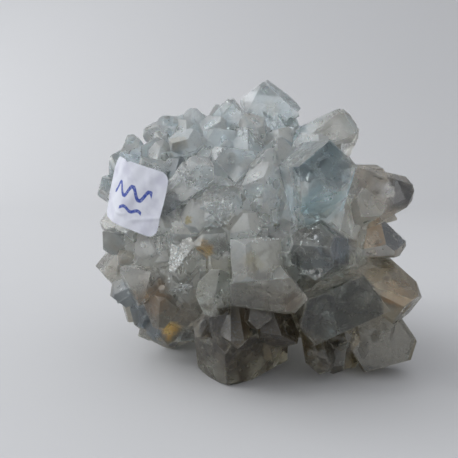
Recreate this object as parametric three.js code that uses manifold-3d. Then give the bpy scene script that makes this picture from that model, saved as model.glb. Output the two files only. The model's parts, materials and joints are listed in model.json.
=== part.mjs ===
// A hand-sized celestite crystal cluster with a paper label stuck on it.
// Millimetres, +Z up, front towards -Y, resting on the tips of its lowest crystals at Z = 0.
import * as THREE from "three";
import { ConvexGeometry } from "three/addons/geometries/ConvexGeometry.js";
import { mergeVertices } from "three/addons/utils/BufferGeometryUtils.js";
import Module from "manifold-3d";

const wasm = await Module();
wasm.setup();

// Driving dimensions
const CELL = { a: 8.359, b: 5.352, c: 6.866 }; // celestite's unit cell, in angstroms
const CORES = [
  { centre: [-4.9, 5.1, 38], radii: [31, 28.5, 29.5] }, // the grown-together roots: the round left part
  { centre: [15.1, -2.9, 36], radii: [19, 22, 27] }, // what the large crystals on the right stand on
  { centre: [-16.9, -0.9, 22], radii: [19, 20, 15] }, // and the lower left
];
const SMALL = {
  counts: [197, 52, 48], // how many directions are tried on each core
  size: [8.5, 13], // width across the broad face
  stand: [2.5, 6], // how far the tip stands out of the core
  lean: 0.5, // how far a crystal may turn from straight outwards
  clear: [0.2, 0.38, 0.2], // room kept to the large crystals on each core, as a share of the size
  coarse: { scale: 1.4, every: 2 }, // the back and the underside have fewer and larger ones
  seed: 31,
};
const LABEL = {
  width: 20, height: 16.4, thick: 0.3, corner: 2.4,
  gap: 0.3, // between the paper and the crystals behind it
  fold: { from: -4.5, to: 1.5, degrees: 37 }, // left of this strip the paper is bent back over the crystals
  centre: [-31, -20, 47.7], across: [0.906, -0.323, -0.274], up: [0.259, -0.092, 0.962],
  room: { out: 12, around: 0.5, beside: 3, behind: 1.5 }, // kept free of crystals
};

const vec = (p) => new THREE.Vector3(...p);

// The unit normal of the face (h k l) in the crystal's own axes: X along a, Y along b, Z along c.
// A taper, in degrees, tips it towards the root.
function faceNormal(h, k, l, taper = 0) {
  const normal = new THREE.Vector3(h / CELL.a, k / CELL.b, l / CELL.c).normalize();
  normal.x -= Math.tan(THREE.MathUtils.degToRad(taper));
  return normal.normalize();
}

// A crystal's flat faces as planes { normal, distance }. Its tip, a chisel edge 104 degrees across, is at
// the origin and its body runs down -X: a pair of end faces (2 1 0), the broad faces (0 0 1), the narrow
// shoulders (1 0 1) that cut the tip back, the sides (0 1 1) and, on a thick crystal, the edges (0 1 0).
// `waist` adds the root faces of a crystal that is pointed at both ends.
function crystalPlanes({ width, thick, length, shoulder, bevel, skew, taper, waist }) {
  const planes = [];
  const face = (normal, x, y, z) => planes.push({ normal, distance: normal.dot(new THREE.Vector3(x, y, z)) });
  const halfWidth = width / 2;
  const halfThick = thick / 2;
  const rise = Math.max(halfThick - bevel, 0);
  for (const side of [1, -1]) {
    face(faceNormal(2, side, 0), 0, skew * width, 0);
    face(faceNormal(0, 0, side, taper), 0, 0, side * halfThick);
    face(faceNormal(1, 0, side), -shoulder[side > 0 ? 0 : 1], 0, side * halfThick);
    face(faceNormal(0, side, 1, taper), 0, side * halfWidth, rise);
    face(faceNormal(0, side, -1, taper), 0, side * halfWidth, -rise);
    if (rise > 0.1) face(faceNormal(0, side, 0, taper), 0, side * halfWidth, 0);
    if (waist) face(faceNormal(-2, side, 0), -waist, side * halfWidth, 0);
  }
  face(new THREE.Vector3(-1, 0, 0), -length, 0, 0);
  return planes;
}

// The closed convex body inside all of the planes: its corners are where three planes meet and no other
// cuts them off
function convexBody(planes) {
  const corners = [];
  const slack = 1e-6;
  for (let i = 0; i < planes.length; i++) {
    for (let j = i + 1; j < planes.length; j++) {
      for (let k = j + 1; k < planes.length; k++) {
        const trio = [planes[i], planes[j], planes[k]];
        const [u, v, w] = trio.map((p) => p.normal);
        const spread = u.dot(v.clone().cross(w));
        if (Math.abs(spread) < 1e-6) continue;
        const corner = v.clone().cross(w).multiplyScalar(trio[0].distance);
        corner.add(w.clone().cross(u).multiplyScalar(trio[1].distance));
        corner.add(u.clone().cross(v).multiplyScalar(trio[2].distance));
        corner.divideScalar(spread);
        if (planes.every((p) => p.normal.dot(corner) < p.distance + slack)) corners.push(corner);
      }
    }
  }
  return new ConvexGeometry(corners);
}

// A closed geometry as a solid that can be joined and cut
function solidOf(geometry) {
  const bare = geometry.clone();
  Object.keys(bare.attributes).forEach((name) => name !== "position" && bare.deleteAttribute(name));
  const merged = mergeVertices(bare, 1e-4);
  const index = new Uint32Array(merged.index.array);
  return new wasm.Manifold(
    new wasm.Mesh({ numProp: 3, vertProperties: merged.attributes.position.array, triVerts: index }),
  );
}

function geometryOf(solid) {
  const { vertProperties, triVerts } = solid.getMesh();
  const geometry = new THREE.BufferGeometry();
  geometry.setAttribute("position", new THREE.BufferAttribute(vertProperties, 3));
  geometry.setIndex(new THREE.BufferAttribute(triVerts, 1));
  return geometry;
}

// Turns and moves a crystal so that its a axis runs along `along`, its broad face looks to `facing` and its
// tip is at `tip`
function placement({ tip, along, facing }) {
  const a = vec(along).normalize();
  const b = vec(facing).cross(a).normalize();
  const c = a.clone().cross(b);
  return new THREE.Matrix4().makeBasis(a, b, c).setPosition(...tip);
}

const PLAIN = { shoulder: [1.5, 1.5], bevel: 1.5, skew: 0, taper: 0, waist: 0 };
function crystal(spec) {
  const full = { ...PLAIN, ...spec };
  return solidOf(convexBody(crystalPlanes(full)).applyMatrix4(placement(full)));
}

// The large crystals: where the tip is, which way the crystal points and which way its broad face looks.
// Those from `back upper right` on are out of the front view.
const LARGE = [
  { name: "crown", tip: [6.9, 2.7, 79.9], along: [0.02, -0.3, 0.95],
    facing: [-0.28, -0.92, -0.28], width: 18.4, thick: 9.5, length: 34,
    shoulder: [0.1, 4.5], bevel: 3, skew: 0.1, waist: 7.2 },
  { name: "blue front", tip: [14.4, -26.1, 60.5], along: [-0.04, -0.04, 1],
    facing: [0.29, -0.95, -0.03], width: 16.8, thick: 13.4, length: 24,
    shoulder: [0.1, 0.3], bevel: 0.1, skew: 0.02, taper: 10.7 },
  { name: "upper right prism", tip: [31.7, -0.5, 64.5], along: [0.98, -0.12, 0.15],
    facing: [-0.19, -0.75, 0.64], width: 17.6, thick: 14.6, length: 36,
    shoulder: [8.7, 4.5], bevel: 3.2, skew: 0.09, taper: 16 },
  { name: "right prism", tip: [41.2, -6.9, 42.2], along: [0.88, 0.28, -0.38],
    facing: [0.27, -0.96, -0.07], width: 20.4, thick: 10.7, length: 34,
    shoulder: [2.3, 4.5], bevel: 2.8, skew: 0.2, taper: 11.2 },
  { name: "lower right prism", tip: [39.9, -15.9, 36.9], along: [0.94, -0.26, 0.23],
    facing: [-0.35, -0.7, 0.63], width: 12.3, thick: 7.6, length: 30,
    shoulder: [6.2, 0.1], bevel: 3, skew: -0.06, taper: 10.5 },
  { name: "pale front", tip: [0, -39, 35.4], along: [-0.07, -0.96, 0.26],
    facing: [-0.06, 0.26, 0.96], width: 11.4, thick: 9.3, length: 24,
    shoulder: [2, 1.3], bevel: 0.3, skew: -0.2, taper: 1.3 },
  { name: "tooth", tip: [0.6, -31.9, 17.4], along: [-0.08, -0.32, -0.94],
    facing: [0.19, -0.94, 0.3], width: 5.8, thick: 5.4, length: 24,
    shoulder: [0.1, 0.1], bevel: 0.1, skew: -0.11, taper: 5 },
  { name: "dark front", tip: [10.9, -37.7, 36.9], along: [-0.48, -0.86, 0.15],
    facing: [-0.87, 0.49, -0.01], width: 13.7, thick: 9.6, length: 24,
    shoulder: [1.7, 0.1], bevel: 4.8, skew: 0.07 },
  { name: "pale shelf", tip: [10.8, -32.5, 27.6], along: [0.99, 0.15, 0.07],
    facing: [0.17, -0.96, -0.21], width: 14.1, thick: 8.2, length: 28,
    shoulder: [0.1, 3.4], bevel: 3, skew: -0.06, taper: 13.8 },
  { name: "right foot", tip: [29.2, -16.3, 0.5], along: [-0.4, -0.33, -0.85],
    facing: [-0.18, -0.88, 0.43], width: 21.7, thick: 8.1, length: 30,
    shoulder: [0.3, 0.1], bevel: 1, skew: 0.06, waist: 12.5 },
  { name: "stained right", tip: [41.3, -20.3, 21.8], along: [0.92, -0.09, -0.38],
    facing: [0.3, -0.48, 0.82], width: 20.2, thick: 10.6, length: 36,
    shoulder: [2.7, 2.9], bevel: 2.4, skew: -0.16, taper: 11.8 },
  { name: "small foot", tip: [19.8, -22.1, 2.3], along: [-0.3, -0.48, -0.82],
    facing: [-0.74, -0.43, 0.52], width: 8.6, thick: 8.5, length: 24,
    shoulder: [2.8, 4.7], bevel: 4.1, skew: 0.1, taper: 5 },
  { name: "front foot", tip: [-3.6, -27.5, 5.2], along: [-0.14, -0.92, -0.38],
    facing: [-0.05, -0.37, 0.93], width: 25.8, thick: 15.9, length: 34,
    shoulder: [0.1, 3.7], bevel: 1.1, skew: -0.12, taper: 6.2, waist: 13.1 },
  { name: "dark keel", tip: [20.4, -26.6, 11.2], along: [-0.26, -0.11, -0.96],
    facing: [0.09, -0.99, 0.09], width: 23.9, thick: 10, length: 30,
    shoulder: [0.1, 2], bevel: 0.4, skew: -0.3, taper: 1.2, waist: 9.3 },
  { name: "left foot face", tip: [-13.5, -29.2, 14.4], along: [-0.55, -0.31, -0.78],
    facing: [-0.17, -0.87, 0.47], width: 6, thick: 4.9, length: 24,
    shoulder: [0.1, 0.8], bevel: 2.4, skew: 0.08, taper: 5 },
  { name: "pale belly", tip: [-8.2, -34.6, 26.6], along: [0.17, -0.97, 0.17],
    facing: [0.16, 0.2, 0.97], width: 10.3, thick: 10.5, length: 22,
    shoulder: [0.1, 0.1], bevel: 3.5, skew: -0.07, taper: 9 },
  { name: "dark upright", tip: [-4.1, -32.5, 13], along: [0.06, -0.45, -0.89],
    facing: [0.04, -0.89, 0.45], width: 8.5, thick: 7.5, length: 22,
    shoulder: [1.9, 3.9], bevel: 3.3, skew: 0.03, taper: 10, waist: 9.6 },
  { name: "dark middle", tip: [7, -28.4, 11.6], along: [0.3, -0.27, -0.92],
    facing: [0.68, -0.61, 0.4], width: 12.6, thick: 7.5, length: 24,
    shoulder: [0.1, 2.1], bevel: 3.8, skew: 0.08, taper: 5 },
  { name: "back upper right", tip: [27.1, 23.1, 64], along: [0.65, 0.5, 0.55],
    facing: [-0.4, 0.2, 0.9], width: 16, thick: 12, length: 32,
    shoulder: [3, 4], bevel: 5.9, taper: 4 },
  { name: "back right", tip: [38.1, 18.1, 45], along: [0.85, 0.55, 0.1],
    facing: [-0.2, 0.3, 0.9], width: 15, thick: 12, length: 32,
    shoulder: [4, 2], bevel: 5.9, taper: 4 },
  { name: "back lower right", tip: [35.1, 18.1, 20], along: [0.75, 0.5, -0.45],
    facing: [0.3, 0.2, 0.9], width: 18, thick: 13, length: 32,
    shoulder: [2, 4], bevel: 6.4, taper: 4 },
  { name: "right face upper", tip: [32.1, 8.1, 57], along: [0.85, 0.15, 0.5],
    facing: [-0.5, 0.2, 0.85], width: 14, thick: 11, length: 30,
    shoulder: [3, 2], bevel: 5.4, taper: 4 },
  { name: "right face middle", tip: [39.1, 8.1, 36], along: [0.97, 0.2, -0.05],
    facing: [0.1, 0.9, 0.4], width: 15, thick: 12, length: 32,
    shoulder: [2, 4], bevel: 5.9, taper: 4 },
  { name: "right face low", tip: [32.1, 4.1, 22], along: [0.85, 0.1, -0.35],
    facing: [0.3, -0.5, 0.8], width: 14, thick: 12, length: 30,
    shoulder: [3, 3], bevel: 5.9, taper: 4 },
  { name: "right face front", tip: [35.1, -5.9, 27], along: [0.95, -0.1, -0.15],
    facing: [0.2, 0.6, 0.7], width: 13, thick: 10, length: 28,
    shoulder: [3, 2], bevel: 4.9, taper: 4 },
  { name: "right face high", tip: [34.1, 1.1, 47], along: [0.9, 0.1, 0.2],
    facing: [0.1, -0.7, 0.6], width: 12, thick: 9, length: 28,
    shoulder: [2, 3], bevel: 4.4, taper: 4 },
  { name: "right face bottom", tip: [25.1, 15.1, 9], along: [0.5, 0.25, -0.8],
    facing: [0.7, 0.3, 0.5], width: 17, thick: 13, length: 32,
    shoulder: [2, 3], bevel: 6.4, taper: 4 },
  { name: "beside the back foot", tip: [26.1, 29.1, 10], along: [0.45, 0.6, -0.65],
    facing: [0.6, -0.3, 0.7], width: 15, thick: 12, length: 32,
    shoulder: [4, 2], bevel: 5.9, taper: 4 },
  { name: "back left low", tip: [-26.9, 20.1, 22], along: [-0.7, 0.55, -0.4],
    facing: [0.3, 0.6, 0.6], width: 14, thick: 11, length: 26,
    shoulder: [2, 3], bevel: 5.4, taper: 4 },
  { name: "back centre", tip: [8.1, 39.1, 50], along: [0.15, 1, 0.25],
    facing: [0.3, -0.2, 0.9], width: 17, thick: 11, length: 28,
    shoulder: [2, 3], bevel: 1.2, taper: 4, waist: 9 },
  { name: "back crown", tip: [-5.9, 30.1, 68], along: [-0.1, 0.65, 0.8],
    facing: [0.9, -0.2, 0.3], width: 17, thick: 12, length: 28,
    shoulder: [2, 3], bevel: 1.5, taper: 4, waist: 9 },
  { name: "back foot", tip: [16.1, 28.1, -0.8], along: [0.2, 0.4, -1],
    facing: [0.7, -0.6, 0.1], width: 19, thick: 14, length: 34,
    shoulder: [3, 4], bevel: 2, taper: 5 },
  { name: "back low", tip: [-10.9, 33.1, 14], along: [-0.2, 0.75, -0.6],
    facing: [0.5, 0.5, 0.6], width: 16, thick: 12, length: 28,
    shoulder: [2, 2], bevel: 5.9, taper: 4, waist: 8 },
  { name: "back left", tip: [-27.9, 27.1, 42], along: [-0.65, 0.75, 0.1],
    facing: [0.2, 0.3, 0.9], width: 15, thick: 11, length: 26,
    shoulder: [3, 3], bevel: 5.4, taper: 4, waist: 8 },
  { name: "left heel", tip: [-23.9, 4.1, -0.7], along: [-0.3, 0.05, -1],
    facing: [-0.3, -1, 0.1], width: 14, thick: 10, length: 26,
    shoulder: [2, 3], bevel: 4.9, taper: 5 },
  { name: "underside", tip: [5.1, 5.1, 4], along: [0.1, 0.05, -1],
    facing: [0.4, -0.8, 0.1], width: 16, thick: 12, length: 26,
    shoulder: [2, 2], bevel: 5.9, taper: 5 },
];

// Smaller crystals between them that are seen singly, and the four that the label is stuck on
const MIDDLE = [
  { name: "top fourth", tip: [-29, -2.3, 66.1], along: [-0.69, 0.06, 0.72],
    facing: [-0.57, -0.66, -0.49], width: 8.4, thick: 5.7, length: 24,
    shoulder: [1.4, 0.1], bevel: 2.8, skew: -0.06, taper: 9.3 },
  { name: "top third", tip: [-22.4, -2.2, 69.2], along: [0.09, -0.09, 0.99],
    facing: [-0.97, 0.21, 0.11], width: 7.3, thick: 6.9, length: 24,
    shoulder: [1.4, 0.1], bevel: 0.1, skew: 0.06, taper: 10.3 },
  { name: "top second", tip: [-15.2, -3, 71.2], along: [-0.01, -0.16, 0.99],
    facing: [0.5, -0.85, -0.14], width: 8.2, thick: 4.5, length: 24,
    shoulder: [0.1, 0.5], bevel: 2.2, skew: 0.11, taper: 5 },
  { name: "top left of crown", tip: [-7.2, -2.6, 73.7], along: [-0.12, -0.14, 0.98],
    facing: [0.07, -0.99, -0.13], width: 8.7, thick: 7.8, length: 24,
    shoulder: [0.1, 0.1], bevel: 3.2, skew: -0.1, taper: 5 },
  { name: "left of label", tip: [-43.6, -1, 47.5], along: [-0.94, -0.28, -0.18],
    facing: [0.06, -0.67, 0.74], width: 7.7, thick: 2.6, length: 24,
    shoulder: [0.1, 0.7], bevel: 0.1, skew: -0.01, taper: 5 },
  { name: "below label left", tip: [-41.7, -5, 38.8], along: [-0.73, -0.66, 0.17],
    facing: [0.56, -0.73, -0.4], width: 7.8, thick: 8.9, length: 24,
    shoulder: [0.4, 2.8], bevel: 2.2, skew: 0.06, taper: 6.7 },
  { name: "label shoulder", tip: [-35.9, -3.9, 61.3], along: [-0.57, -0.45, 0.69],
    facing: [-0.06, -0.81, -0.58], width: 8.6, thick: 9.5, length: 24,
    shoulder: [0.1, 0.8], bevel: 2.6, skew: -0.1, taper: 5 },
  { name: "far left", tip: [-42.7, -7.1, 27], along: [-0.86, -0.52, 0.01],
    facing: [0.51, -0.86, -0.07], width: 11, thick: 7.3, length: 24,
    shoulder: [0.9, 0.1], bevel: 0.1, skew: 0.07, taper: 7.1 },
  { name: "left low", tip: [-37.9, -12, 19.1], along: [-0.89, 0.13, -0.44],
    facing: [-0.41, -0.65, 0.64], width: 7.6, thick: 7.6, length: 24,
    shoulder: [3.4, 1.4], bevel: 2, skew: -0.05, taper: 5 },
  { name: "left corner", tip: [-34.1, -5.4, 9.4], along: [-0.53, -0.39, -0.76],
    facing: [0.29, -0.92, 0.27], width: 11.6, thick: 7.8, length: 24,
    shoulder: [1.6, 0.1], bevel: 1.1, skew: -0.12, taper: 5 },
  { name: "low left pair", tip: [-31.6, -6.9, 7.8], along: [-0.81, -0.52, -0.26],
    facing: [0.26, -0.72, 0.65], width: 9, thick: 8.5, length: 24,
    shoulder: [0.1, 0.1], bevel: 2.7, skew: -0.04, taper: 5 },
  { name: "low left tip", tip: [-26.8, -10.2, 7.7], along: [-0.52, -0.47, -0.71],
    facing: [0.28, -0.88, 0.37], width: 8.9, thick: 5.8, length: 24,
    shoulder: [0.1, 1.4], bevel: 1.6, skew: 0.27, taper: 5 },
  { name: "dark low", tip: [-21.7, -9.1, 10.2], along: [-0.96, -0.25, 0.11],
    facing: [0.26, -0.68, 0.69], width: 6.4, thick: 7.9, length: 24,
    shoulder: [0.1, 0.1], bevel: 0.1, taper: 5 },
  { name: "dark by label", tip: [-18.6, -20.2, 55.9], along: [0.19, -0.72, 0.66],
    facing: [0.91, 0.39, 0.16], width: 7.4, thick: 4.9, length: 24,
    shoulder: [1, 3.9], bevel: 0.1, skew: -0.12, taper: 5 },
  { name: "cream facet", tip: [-17.3, -18.3, 61.4], along: [-0.18, -0.98, 0.1],
    facing: [-0.96, 0.15, -0.24], width: 6.6, thick: 8.9, length: 24,
    shoulder: [1.9, 4], bevel: 2.3, skew: -0.02, taper: 9.1 },
  { name: "smooth centre left", tip: [-10.3, -21.6, 56.1], along: [0.75, -0.1, 0.66],
    facing: [-0.26, 0.87, 0.42], width: 8.5, thick: 5.8, length: 24,
    shoulder: [0.1, 0.1], bevel: 1.7, skew: 0.01, taper: 5 },
  { name: "centre blade", tip: [1.9, -26.4, 51.7], along: [0, -0.91, 0.41],
    facing: [-0.37, -0.38, -0.85], width: 9.4, thick: 10, length: 24,
    shoulder: [7.1, 0.1], bevel: 3.3, skew: -0.01, taper: 5.6 },
  { name: "sparkle knob", tip: [-18.1, -21.6, 24.4], along: [0.04, -0.96, -0.28],
    facing: [-0.01, -0.28, 0.96], width: 9.6, thick: 8.7, length: 24,
    shoulder: [2.2, 0.1], bevel: 0.1, skew: -0.03, taper: 9.1 },
  { name: "right prism lower", tip: [41.9, -2, 41.5], along: [0.83, -0.48, 0.29],
    facing: [-0.56, -0.64, 0.53], width: 5.6, thick: 10.4, length: 24,
    shoulder: [6.4, 0.5], bevel: 4.8, skew: 0.06, taper: 12 },
  { name: "upper right end", tip: [30.4, -4.4, 67.6], along: [0.9, 0.2, 0.39],
    facing: [0.01, -0.9, 0.44], width: 10.6, thick: 6, length: 24,
    shoulder: [5.1, 5], bevel: 1.1, skew: 0.1, taper: 12 },
  { name: "right prism back", tip: [39.6, -2.3, 49.8], along: [0.97, -0.06, -0.24],
    facing: [0.01, -0.96, 0.29], width: 12.5, thick: 6.6, length: 28,
    shoulder: [0.4, 1.8], bevel: 3.3, skew: -0.02, taper: 11.1 },
  { name: "crown skirt", tip: [12.9, 0, 65.9], along: [0.69, -0.72, 0.07],
    facing: [-0.71, -0.69, -0.11], width: 11.4, thick: 8.4, length: 24,
    shoulder: [0.1, 2], bevel: 0.1, skew: 0.06, taper: 15.1 },
  { name: "label bearer upper right", tip: [-25.8, -22.9, 50.2], along: [-0.45, -0.8, 0.35],
    facing: [0.2, -0.3, 0.9], width: 10, thick: 8, length: 24,
    shoulder: [1.5, 1.5], bevel: 3.9, taper: 5 },
  { name: "label bearer lower right", tip: [-27.1, -22.5, 41.7], along: [-0.5, -0.85, 0.1],
    facing: [0.2, -0.3, 0.9], width: 10, thick: 8, length: 24,
    shoulder: [1.5, 1.5], bevel: 3.9, taper: 5 },
  { name: "label bearer upper left", tip: [-34.4, -19.2, 51.7], along: [-0.7, -0.6, 0.35],
    facing: [0.2, -0.3, 0.9], width: 10, thick: 8, length: 24,
    shoulder: [1.5, 1.5], bevel: 3.9, taper: 5 },
  { name: "label bearer lower left", tip: [-36.2, -18.7, 44.9], along: [-0.75, -0.6, 0.15],
    facing: [0.2, -0.3, 0.9], width: 10, thick: 8, length: 24,
    shoulder: [1.5, 1.5], bevel: 3.9, taper: 5 },
];

function isCoarse(outward) {
  return outward.y > 0.15 || outward.z < -0.6;
}

// One crystal of the tight growth between the others; `dice` gives numbers from 0 to 1
function smallCrystal(core, outward, dice) {
  const foot = vec(core.radii).multiply(outward).add(vec(core.centre));
  const between = ([low, high]) => low + (high - low) * dice();
  const size = between(SMALL.size) * (isCoarse(outward) ? SMALL.coarse.scale : 1);
  const wobble = new THREE.Vector3(dice() - 0.5, dice() - 0.5, dice() - 0.5).multiplyScalar(2 * SMALL.lean);
  const along = outward.clone().add(wobble).normalize();
  const tip = foot.addScaledVector(along, between(SMALL.stand));
  const facing = new THREE.Vector3(dice() - 0.5, dice() - 0.5, dice() - 0.5);
  return {
    tip: tip.toArray(),
    along: along.toArray(),
    facing: facing.toArray(),
    width: size,
    thick: size * (0.6 + 0.35 * dice()),
    length: size * 1.5,
    shoulder: [size * 0.3 * dice(), size * 0.3 * dice()],
    bevel: size * 0.5,
    skew: 0.2 * (dice() - 0.5),
    taper: 8 * dice(),
    waist: 0,
  };
}

// Directions spread evenly over a ball by the golden angle
function* evenDirections(count) {
  const golden = Math.PI * (3 - Math.sqrt(5));
  for (let i = 0; i < count; i++) {
    const z = 1 - (2 * i + 1) / count;
    const r = Math.sqrt(1 - z * z);
    yield new THREE.Vector3(r * Math.cos(golden * i), r * Math.sin(golden * i), z);
  }
}

// A repeatable run of numbers from 0 to 1
function diceFrom(seed) {
  let state = seed;
  return () => {
    state = (Math.imul(state, 1664525) + 1013904223) >>> 0;
    return state / 4294967296;
  };
}

// The planes of these crystals, with the turn that brings a point into each crystal's own axes
function outlines(specs) {
  return specs.map((spec) => {
    const full = { ...PLAIN, ...spec };
    return { planes: crystalPlanes(full), inverse: placement(full).invert() };
  });
}
const largeOutlines = outlines(LARGE);
const middleOutlines = outlines(MIDDLE);

// True where a point lies in one of these crystals or closer to it than `margin`, so that no small crystal
// grows through a large one's face
function near(point, shapes, margin) {
  return shapes.some(({ planes, inverse }) => {
    const local = point.clone().applyMatrix4(inverse);
    return planes.every((p) => p.normal.dot(local) < p.distance + margin);
  });
}

function insideCore(point, core) {
  const away = point.clone().sub(vec(core.centre)).divide(vec(core.radii));
  return away.length() < 1;
}

// How far the bent paper's middle plane runs across and out at a flat distance x, and its lean there, in
// radians
function foldAt(x) {
  const { from, to, degrees } = LABEL.fold;
  const whole = THREE.MathUtils.degToRad(degrees);
  const radius = (to - from) / whole;
  const lean = THREE.MathUtils.clamp((to - x) / radius, 0, whole);
  const beyond = Math.max(from - x, 0);
  const across = x > to ? x : to - radius * Math.sin(lean) - beyond * Math.cos(whole);
  return { across, out: -radius * (1 - Math.cos(lean)) - beyond * Math.sin(lean), lean };
}

// A bent sheet of the label's outline grown by `margin`, from `low` to `high` over the middle plane
function labelSheet(low, high, margin) {
  const across = vec(LABEL.across).normalize();
  const normal = across.clone().cross(vec(LABEL.up)).normalize();
  const up = normal.clone().cross(across);
  const halfWidth = LABEL.width / 2 + margin;
  const halfHeight = LABEL.height / 2 + margin;
  const corner = [0, 30, 60, 90].map((a) => THREE.MathUtils.degToRad(a));
  const end = corner.map((a) => [
    halfWidth - LABEL.corner * (1 - Math.cos(a)),
    halfHeight - LABEL.corner * (1 - Math.sin(a)),
  ]);
  const folds = [0, 0.25, 0.5, 0.75, 1].map((share) => [
    THREE.MathUtils.lerp(LABEL.fold.from, LABEL.fold.to, share),
    halfHeight,
  ]);
  const stations = [...end.map(([x, h]) => [-x, h]), ...folds, ...end.reverse()];
  const points = [];
  for (const [x, half] of stations) {
    const bend = foldAt(x);
    for (const [y, z] of [[-half, low], [half, low], [half, high], [-half, high]]) {
      const place = vec(LABEL.centre).addScaledVector(across, bend.across - z * Math.sin(bend.lean));
      place.addScaledVector(normal, bend.out + z * Math.cos(bend.lean)).addScaledVector(up, y);
      points.push(...place.toArray());
    }
  }
  const faces = [0, 2, 1, 0, 3, 2];
  const last = 4 * (stations.length - 1);
  for (let i = 0; i < last; i += 4) {
    for (let side = 0; side < 4; side++) {
      const next = (side + 1) % 4;
      faces.push(i + side, i + 4 + next, i + 4 + side, i + side, i + next, i + 4 + next);
    }
  }
  faces.push(last, last + 1, last + 2, last, last + 2, last + 3);
  const geometry = new THREE.BufferGeometry();
  geometry.setAttribute("position", new THREE.Float32BufferAttribute(points, 3));
  geometry.setIndex(faces);
  return geometry;
}

// True where a small crystal's tip would stand in front of the label or close beside it. Past the fold the
// limit slopes back with the paper.
function hidesLabel(tip) {
  const away = tip.clone().sub(vec(LABEL.centre));
  const across = vec(LABEL.across).normalize();
  const up = vec(LABEL.up).normalize();
  const side = away.dot(across);
  const { from, to, degrees } = LABEL.fold;
  const { beside, behind } = LABEL.room;
  if (Math.abs(side) > LABEL.width / 2 + beside) return false;
  if (Math.abs(away.dot(up)) > LABEL.height / 2 + beside) return false;
  const slope = Math.min(side - (from + to) / 2, 0) * Math.sin(THREE.MathUtils.degToRad(degrees));
  return away.dot(across.cross(up)) > slope - behind;
}

// The small crystals of one core that find room between the others
function smallCrystals(core, count, clear, dice) {
  const grown = [];
  let turn = 0;
  for (const outward of evenDirections(count)) {
    turn += 1;
    if (isCoarse(outward) && turn % SMALL.coarse.every) continue;
    const spec = smallCrystal(core, outward, dice);
    const tip = vec(spec.tip);
    const buried = CORES.some((other) => other !== core && insideCore(tip, other));
    const crowded = near(tip, largeOutlines, spec.width * clear) || near(tip, middleOutlines, 0.5);
    if (!buried && !crowded && !hidesLabel(tip)) grown.push(spec);
  }
  return grown;
}

// All crystals grown together in one solid, cut flat where it rests and kept clear of the label
function clusterSolid() {
  const dice = diceFrom(SMALL.seed);
  const small = CORES.flatMap((core, i) => smallCrystals(core, SMALL.counts[i], SMALL.clear[i], dice));
  const cores = CORES.map(({ centre, radii }) => {
    return solidOf(new THREE.IcosahedronGeometry(1, 1).scale(...radii).translate(...centre));
  });
  const joined = wasm.Manifold.union([...cores, ...[...LARGE, ...MIDDLE, ...small].map(crystal)]);
  const below = new THREE.BoxGeometry(400, 400, 100).translate(0, 0, -50);
  const aroundLabel = labelSheet(-LABEL.thick / 2 - LABEL.gap, LABEL.room.out, LABEL.room.around);
  return joined.subtract(solidOf(below)).subtract(solidOf(aroundLabel));
}

const celestite = new THREE.MeshStandardMaterial({ color: 0xaab6bd, roughness: 0.15, metalness: 0 });
const paper = new THREE.MeshStandardMaterial({ color: 0xe6e4ee, roughness: 0.8, metalness: 0 });

function named(name, geometry, material) {
  const mesh = new THREE.Mesh(geometry, material);
  mesh.name = name;
  return mesh;
}

const part = new THREE.Group();
part.add(named("crystal_cluster", geometryOf(clusterSolid()), celestite));
part.add(named("paper_label", labelSheet(-LABEL.thick / 2, LABEL.thick / 2, 0), paper));

export default part;
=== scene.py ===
# Celestite crystal cluster with a paper label: its looks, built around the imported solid
import itertools
import json
import math

import bmesh
import bpy
import numpy as np
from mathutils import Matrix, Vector

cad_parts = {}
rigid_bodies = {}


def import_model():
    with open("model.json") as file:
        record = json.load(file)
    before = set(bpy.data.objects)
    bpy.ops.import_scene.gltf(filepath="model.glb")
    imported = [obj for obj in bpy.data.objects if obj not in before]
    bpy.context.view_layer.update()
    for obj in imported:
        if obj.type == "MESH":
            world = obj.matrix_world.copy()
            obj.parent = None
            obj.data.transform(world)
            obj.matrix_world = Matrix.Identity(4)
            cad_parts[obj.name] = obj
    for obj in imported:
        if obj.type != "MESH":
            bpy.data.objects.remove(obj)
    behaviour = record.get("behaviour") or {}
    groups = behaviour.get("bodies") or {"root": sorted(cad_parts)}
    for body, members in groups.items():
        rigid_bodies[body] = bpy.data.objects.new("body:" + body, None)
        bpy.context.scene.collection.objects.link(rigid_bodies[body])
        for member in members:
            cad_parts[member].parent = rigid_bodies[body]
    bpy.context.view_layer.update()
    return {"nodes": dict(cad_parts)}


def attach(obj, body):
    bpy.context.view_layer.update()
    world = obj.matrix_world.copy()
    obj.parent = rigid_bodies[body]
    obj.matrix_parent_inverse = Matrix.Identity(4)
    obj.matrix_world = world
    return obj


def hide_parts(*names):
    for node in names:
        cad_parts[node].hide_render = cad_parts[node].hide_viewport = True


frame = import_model()
mm = 0.001
scene = bpy.context.scene


def tell(stage):
    print("crystal cluster:", stage)


def newPiece(name, mesh):
    piece = bpy.data.objects.new(name, mesh)
    scene.collection.objects.link(piece)
    return piece


def unit(v):
    v = np.asarray(v, float)
    return v / np.linalg.norm(v, axis=-1, keepdims=True)


# The camera stands where the photographer's did: close, a little above the middle, looking slightly down
photoCamera = {
    "place": (-5.9 * mm, -131.9 * mm, 53 * mm), "pitch": 7, "fieldOfView": 54, "sensor": 36,
    "nearest": 5 * mm,
}


def makeCamera(v):
    camera = bpy.data.cameras.new("photoCamera")
    camera.sensor_width = v["sensor"]
    camera.lens = v["sensor"] / 2 / math.tan(math.radians(v["fieldOfView"] / 2))
    camera.clip_start = v["nearest"]
    stand = newPiece("photoCamera", camera)
    stand.location = v["place"]
    stand.rotation_euler = (math.radians(90 - v["pitch"]), 0, 0)
    scene.camera = stand


makeCamera(photoCamera)
tell("camera placed")

# Celestite is orthorhombic: a crystal's faces follow from the lengths of its unit cell, in angstroms
cell = np.array([8.359, 5.352, 6.866])


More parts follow.
